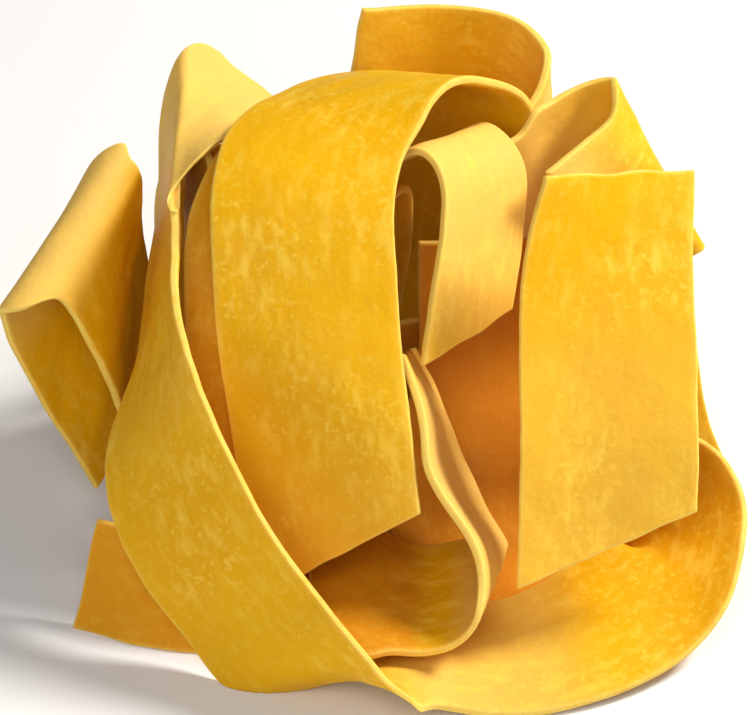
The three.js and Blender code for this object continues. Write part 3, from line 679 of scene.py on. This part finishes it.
def build_fleck_group():
    """Pale flecks and soft streaks that run along the ribbon, in loose patches."""
    group = bpy.data.node_groups.new("Dough flecks", "ShaderNodeTree")
    socket(group, "Vector", "NodeSocketVector")
    socket(group, "Run", "NodeSocketVector")
    socket(group, "Fleck rate", "NodeSocketFloat", 1100.0)
    socket(group, "Amount", "NodeSocketFloat", 0.6)
    socket(group, "Mask", "NodeSocketFloat", out=True)
    take = node(group, "NodeGroupInput", -900, 0)
    give = node(group, "NodeGroupOutput", 500, 0)
    fine = noise_of(group, -600, 200, 0.001, 2.5, 0.6)
    patch = noise_of(group, -600, -150, PATCH_SIZE, 2.0)
    group.links.new(take.outputs["Vector"], fine.inputs["Vector"])
    group.links.new(take.outputs["Fleck rate"], fine.inputs["Scale"])
    group.links.new(take.outputs["Vector"], patch.inputs["Vector"])
    stretch = node(group, "ShaderNodeMapping", -800, 450)
    stretch.inputs["Scale"].default_value = STREAK_STRETCH
    streak = noise_of(group, -600, 450, STREAK_SIZE, 2.5, 0.55)
    group.links.new(take.outputs["Run"], stretch.inputs["Vector"])
    group.links.new(stretch.outputs["Vector"], streak.inputs["Vector"])
    soft = ramp_of(group, -350, 450, 0.46, 0.72)
    group.links.new(streak.outputs["Fac"], soft.inputs["Value"])
    peaks = ramp_of(group, -350, 200, 0.5, 0.74)
    spread = ramp_of(group, -350, -150, 0.36, 0.66)
    spread.inputs["To Min"].default_value = 0.25
    group.links.new(fine.outputs["Fac"], peaks.inputs["Value"])
    group.links.new(patch.outputs["Fac"], spread.inputs["Value"])
    either = math_of(group, -200, 300, "MAXIMUM")
    group.links.new(soft.outputs["Result"], either.inputs[0])
    group.links.new(peaks.outputs["Result"], either.inputs[1])
    both = math_of(group, -100, 50, "MULTIPLY")
    scaled = math_of(group, 150, 50, "MULTIPLY")
    group.links.new(either.outputs[0], both.inputs[0])
    group.links.new(spread.outputs["Result"], both.inputs[1])
    group.links.new(both.outputs[0], scaled.inputs[0])
    group.links.new(take.outputs["Amount"], scaled.inputs[1])
    group.links.new(scaled.outputs[0], give.inputs["Mask"])


def build_grain_group():
    """Fine grain with shallow pits, and scratches that run along the ribbon."""
    group = bpy.data.node_groups.new("Dough grain", "ShaderNodeTree")
    socket(group, "Vector", "NodeSocketVector")
    socket(group, "Run", "NodeSocketVector")
    socket(group, "Height", "NodeSocketFloat", out=True)
    take = node(group, "NodeGroupInput", -900, 0)
    give = node(group, "NodeGroupOutput", 500, 0)
    fine = noise_of(group, -600, 300, PIT_SIZE, 3.0, 0.6)
    coarse = noise_of(group, -600, 0, LUMP_SIZE, 2.0)
    scratch = noise_of(group, -400, -300, SCRATCH_SIZE, 1.0)
    stretch = node(group, "ShaderNodeMapping", -600, -300)
    stretch.inputs["Scale"].default_value = SCRATCH_STRETCH
    group.links.new(take.outputs["Vector"], fine.inputs["Vector"])
    group.links.new(take.outputs["Vector"], coarse.inputs["Vector"])
    group.links.new(take.outputs["Run"], stretch.inputs["Vector"])
    group.links.new(stretch.outputs["Vector"], scratch.inputs["Vector"])
    wide = math_of(group, -350, 0, "MULTIPLY", 1.3)
    lines = math_of(group, -150, -300, "MULTIPLY", 0.35)
    first = math_of(group, -100, 150, "ADD")
    second = math_of(group, 150, 0, "ADD")
    group.links.new(coarse.outputs["Fac"], wide.inputs[0])
    group.links.new(scratch.outputs["Fac"], lines.inputs[0])
    group.links.new(fine.outputs["Fac"], first.inputs[0])
    group.links.new(wide.outputs[0], first.inputs[1])
    group.links.new(first.outputs[0], second.inputs[0])
    group.links.new(lines.outputs[0], second.inputs[1])
    group.links.new(second.outputs[0], give.inputs["Height"])


def build_edge_group():
    """Painted highlight along the cut edges, broken up a little."""
    group = bpy.data.node_groups.new("Painted edge highlight", "ShaderNodeTree")
    socket(group, "Vector", "NodeSocketVector")
    socket(group, "Strength", "NodeSocketFloat", 0.8)
    socket(group, "Mask", "NodeSocketFloat", out=True)
    take = node(group, "NodeGroupInput", -900, 0)
    give = node(group, "NodeGroupOutput", 500, 0)
    rim = node(group, "ShaderNodeAttribute", -600, 150, attribute_name="cut_edge")
    broken = noise_of(group, -600, -150, CRUMB_SIZE, 2.0)
    group.links.new(take.outputs["Vector"], broken.inputs["Vector"])
    range_of = ramp_of(group, -350, -150, 0.2, 0.6)
    range_of.inputs["To Min"].default_value = 0.55
    group.links.new(broken.outputs["Fac"], range_of.inputs["Value"])
    both = math_of(group, -100, 50, "MULTIPLY")
    scaled = math_of(group, 150, 50, "MULTIPLY")
    group.links.new(rim.outputs["Fac"], both.inputs[0])
    group.links.new(range_of.outputs["Result"], both.inputs[1])
    group.links.new(both.outputs[0], scaled.inputs[0])
    group.links.new(take.outputs["Strength"], scaled.inputs[1])
    group.links.new(scaled.outputs[0], give.inputs["Mask"])


def mix_of(tree, x, y, first, second, factor):
    """The first colour turned into the second one by the factor."""
    made = node(tree, "ShaderNodeMix", x, y, data_type="RGBA")
    for slot_name, value in (("A", first), ("B", second)):
        target = next(s for s in made.inputs if s.name == slot_name and s.type == "RGBA")
        if isinstance(value, bpy.types.NodeSocket):
            tree.links.new(value, target)
        else:
            target.default_value = value
    tree.links.new(factor, made.inputs[0])
    return next(s for s in made.outputs if s.type == "RGBA")


def build_dough(dough):
    """Egg dough, painted paler where light falls and deeper where shade falls."""
    material = bpy.data.materials.new("egg_dough")
    material.use_nodes = True
    tree = material.node_tree
    tree.nodes.clear()
    output = node(tree, "ShaderNodeOutputMaterial", 900, 0)
    shader = node(tree, "ShaderNodeBsdfPrincipled", 600, 0)
    tree.links.new(shader.outputs["BSDF"], output.inputs["Surface"])
    where = node(tree, "ShaderNodeTexCoord", -1200, 0)
    run = node(tree, "ShaderNodeAttribute", -1200, -300, attribute_name="run")

    cloud = noise_of(tree, -900, 400, CLOUD_SIZE, 3.0, 0.55)
    tree.links.new(where.outputs["Object"], cloud.inputs["Vector"])
    cloud_mask = ramp_of(tree, -650, 400, 0.3, 0.72)
    cloud_mask.inputs["To Max"].default_value = CLOUD_STRENGTH
    tree.links.new(cloud.outputs["Fac"], cloud_mask.inputs["Value"])
    clouded = mix_of(tree, -400, 400, dough.golden, dough.deep_tone_and_shade, cloud_mask.outputs["Result"])
    # Painted light and shade: the pale colour is painted where light falls and the deep colour
    # where shade falls.
    painted_lighting = node(tree, "ShaderNodeAttribute", -900, 650, attribute_name="painted_lighting")
    painted_light = ramp_of(tree, -650, 650, 0.0, 1.0)
    painted_shade = ramp_of(tree, -650, 900, 0.0, -1.0)
    tree.links.new(painted_lighting.outputs["Fac"], painted_light.inputs["Value"])
    tree.links.new(painted_lighting.outputs["Fac"], painted_shade.inputs["Value"])
    paled = mix_of(tree, -250, 500, clouded, dough.pale, painted_light.outputs["Result"])
    face = mix_of(tree, -100, 400, paled, dough.deep_tone_and_shade, painted_shade.outputs["Result"])

    fleck = node(tree, "ShaderNodeGroup", -650, 150, node_tree=bpy.data.node_groups["Dough flecks"])
    fleck.inputs["Fleck rate"].default_value = 1 / dough.fleck_size
    # The flecks fade where shade is painted.
    quieter = math_of(tree, -450, 700, "MULTIPLY_ADD", -PAINTED_SHADE_QUIET * dough.fleck_amount)
    quieter.inputs[2].default_value = dough.fleck_amount
    tree.links.new(painted_shade.outputs["Result"], quieter.inputs[0])
    tree.links.new(quieter.outputs[0], fleck.inputs["Amount"])
    tree.links.new(where.outputs["Object"], fleck.inputs["Vector"])
    tree.links.new(run.outputs["Vector"], fleck.inputs["Run"])
    flecked = mix_of(tree, 0, 300, face, dough.fleck, fleck.outputs["Mask"])

    # Painted highlight along the cut edges.
    rim = node(tree, "ShaderNodeGroup", -650, -50, node_tree=bpy.data.node_groups["Painted edge highlight"])
    tree.links.new(where.outputs["Object"], rim.inputs["Vector"])
    coloured = mix_of(tree, 250, 200, flecked, dough.edge, rim.outputs["Mask"])
    tree.links.new(coloured, shader.inputs["Base Color"])

    sheen = noise_of(tree, -650, -250, SHEEN_SIZE, 2.0)
    tree.links.new(where.outputs["Object"], sheen.inputs["Vector"])
    rough = ramp_of(tree, -300, -250, 0.3, 0.7)
    rough.inputs["To Min"].default_value = dough.roughness - SHINIER
    rough.inputs["To Max"].default_value = dough.roughness + DULLER
    tree.links.new(sheen.outputs["Fac"], rough.inputs["Value"])
    tree.links.new(rough.outputs["Result"], shader.inputs["Roughness"])

    grain = node(tree, "ShaderNodeGroup", -300, -500, node_tree=bpy.data.node_groups["Dough grain"])
    tree.links.new(where.outputs["Object"], grain.inputs["Vector"])
    tree.links.new(run.outputs["Vector"], grain.inputs["Run"])
    bump = node(tree, "ShaderNodeBump", 250, -400)
    bump.inputs["Strength"].default_value = 1.0
    bump.inputs["Distance"].default_value = dough.grain
    tree.links.new(grain.outputs["Height"], bump.inputs["Height"])
    tree.links.new(bump.outputs["Normal"], shader.inputs["Normal"])

    shader.inputs["Specular IOR Level"].default_value = SPECULAR
    shader.inputs["Subsurface Weight"].default_value = GLOW_WEIGHT
    shader.inputs["Subsurface Radius"].default_value = GLOW_RADIUS
    shader.inputs["Subsurface Scale"].default_value = GLOW_DEPTH


# ---- operators -----------------------------------------------------------------------
class PASTANEST_OT_dough(bpy.types.Operator):
    """Make the egg dough and the effects that it uses"""
    bl_idname = "pastanest.dough"
    bl_label = "Mix the dough"

    def execute(self, context):
        build_fleck_group()
        build_grain_group()
        build_edge_group()
        build_dough(context.scene.nest_dough)
        return {"FINISHED"}


class PASTANEST_OT_outer_ribbons(bpy.types.Operator):
    """Lay the sweep round the outside, the low flap and the loose loop at the left"""
    bl_idname = "pastanest.outer_ribbons"
    bl_label = "Outer ribbons"

    def execute(self, context):
        for name in OUTER_RIBBONS:
            add_ribbon(context, name)
        return {"FINISHED"}


class PASTANEST_OT_arch_ribbons(bpy.types.Operator):
    """Lay the two arches, the curls under them and the flap at the right"""
    bl_idname = "pastanest.arch_ribbons"
    bl_label = "Arches, curls and flap"

    def execute(self, context):
        for name in ARCH_RIBBONS:
            add_ribbon(context, name)
        return {"FINISHED"}


class PASTANEST_OT_inner_ribbons(bpy.types.Operator):
    """Lay the turns that close the inside of the nest"""
    bl_idname = "pastanest.inner_ribbons"
    bl_label = "Inner turns"

    def execute(self, context):
        for name in INNER_RIBBONS:
            add_ribbon(context, name)
        return {"FINISHED"}


class PASTANEST_OT_back_ribbons(bpy.types.Operator):
    """Lay the ribbons over the top and round the back"""
    bl_idname = "pastanest.back_ribbons"
    bl_label = "Back ribbons"

    def execute(self, context):
        for name in BACK_RIBBONS:
            add_ribbon(context, name)
        return {"FINISHED"}


# Metres. The lights stand at these places from the middle of the nest.
KEY_PLACE, KEY_SIZE, KEY_COLOUR = (0.35, 0.09, 0.37), 0.15, (1.0, 0.97, 0.92)
FILL_PLACE, FILL_SIZE, FILL_COLOUR = (-0.10, -0.40, 0.32), 0.40, (1.0, 0.98, 0.96)
SKY_COLOUR = (1.0, 1.0, 1.0, 1.0)
FLOOR_HALF = 3.0
AIM_HEIGHT = 0.020        # height of the point that the camera looks at
SENSOR_WIDTH = 36.0       # millimetres


def aim(thing, target):
    """Turn a light or camera to face the target."""
    thing.rotation_euler = (target - thing.location).to_track_quat("-Z", "Y").to_euler()


def add_area_light(context, name, place, target, size, power, colour):
    """A round, soft light at a place from the target, which it faces."""
    data = bpy.data.lights.new(name, "AREA")
    data.shape = "DISK"
    data.size = size
    data.energy = power
    data.color = colour
    lamp = bpy.data.objects.new(name, data)
    context.scene.collection.objects.link(lamp)
    lamp.location = target + Vector(place)
    aim(lamp, target)


class PASTANEST_OT_stage(bpy.types.Operator):
    """Set out the floor, the soft lights and the camera"""
    bl_idname = "pastanest.stage"
    bl_label = "Stage"

    def execute(self, context):
        stage = context.scene.nest_stage
        low, high = (Vector(corner) for corner in CAD_BOX)
        middle = (low + high) / 2
        shift = nest_shift(context.scene.nest_ribbon)
        target = Vector((shift[0] * MM, shift[1] * MM, AIM_HEIGHT))

        corners = [(x * FLOOR_HALF, y * FLOOR_HALF, low.z)
                   for x, y in ((-1, -1), (1, -1), (1, 1), (-1, 1))]
        floor_mesh = bpy.data.meshes.new("floor")
        floor_mesh.from_pydata(corners, [], [(0, 1, 2, 3)])
        floor = bpy.data.objects.new("floor", floor_mesh)
        context.scene.collection.objects.link(floor)
        paper = bpy.data.materials.new("pale_floor")
        paper.use_nodes = True
        shader = paper.node_tree.nodes["Principled BSDF"]
        shader.inputs["Base Color"].default_value = stage.floor_colour
        shader.inputs["Roughness"].default_value = 0.9
        shader.inputs["Specular IOR Level"].default_value = 0.1
        floor_mesh.materials.append(paper)

        add_area_light(context, "key", KEY_PLACE, middle, KEY_SIZE,
                       stage.key_power, KEY_COLOUR)
        add_area_light(context, "fill", FILL_PLACE, middle, FILL_SIZE,
                       stage.fill_power, FILL_COLOUR)

        world = bpy.data.worlds.new("surroundings")
        world.use_nodes = True
        background = world.node_tree.nodes["Background"]
        background.inputs["Color"].default_value = SKY_COLOUR
        background.inputs["Strength"].default_value = stage.sky
        context.scene.world = world

        lens = bpy.data.cameras.new("camera")
        lens.lens = stage.lens
        lens.sensor_width = SENSOR_WIDTH
        lens.sensor_fit = "HORIZONTAL"
        lens.clip_start = 0.01
        camera = bpy.data.objects.new("camera", lens)
        context.scene.collection.objects.link(camera)
        camera.location = target + stage.camera_distance * Vector(
            (0, -math.cos(stage.camera_height), math.sin(stage.camera_height)))
        aim(camera, target)
        context.scene.camera = camera
        context.scene.view_settings.view_transform = "Standard"
        return {"FINISHED"}


class PASTANEST_PT_panel(bpy.types.Panel):
    """Steps and sizes of the pasta nest"""
    bl_idname = "PASTANEST_PT_panel"
    bl_label = "Pasta nest"
    bl_space_type = "VIEW_3D"
    bl_region_type = "UI"
    bl_category = "Pasta nest"

    def draw(self, context):
        column = self.layout.column(align=True)
        for step in STEPS:
            column.operator(step.bl_idname)
        for settings in (context.scene.nest_ribbon, context.scene.nest_dough,
                         context.scene.nest_stage):
            box = self.layout.box()
            for key in settings.__annotations__:
                box.prop(settings, key)


STEPS = (
    PASTANEST_OT_stage,
    PASTANEST_OT_dough,
    PASTANEST_OT_outer_ribbons,
    PASTANEST_OT_arch_ribbons,
    PASTANEST_OT_inner_ribbons,
    PASTANEST_OT_back_ribbons,
)
SETTINGS = (NestRibbonSettings, NestDoughSettings, NestStageSettings)
CLASSES = SETTINGS + STEPS + (PASTANEST_PT_panel,)


def register():
    """Add the classes and the settings."""
    for cls in CLASSES:
        bpy.utils.register_class(cls)
    bpy.types.Scene.nest_ribbon = bpy.props.PointerProperty(type=NestRibbonSettings)
    bpy.types.Scene.nest_dough = bpy.props.PointerProperty(type=NestDoughSettings)
    bpy.types.Scene.nest_stage = bpy.props.PointerProperty(type=NestStageSettings)


def unregister():
    """Take the settings and the classes away again."""
    del bpy.types.Scene.nest_stage
    del bpy.types.Scene.nest_dough
    del bpy.types.Scene.nest_ribbon
    for cls in reversed(CLASSES):
        bpy.utils.unregister_class(cls)


def main():
    """Build the nest and its stage."""
    register()
    bpy.ops.pastanest.stage()
    bpy.ops.pastanest.dough()
    bpy.ops.pastanest.outer_ribbons()
    bpy.ops.pastanest.arch_ribbons()
    bpy.ops.pastanest.inner_ribbons()
    bpy.ops.pastanest.back_ribbons()


if __name__ == "__main__":
    main()
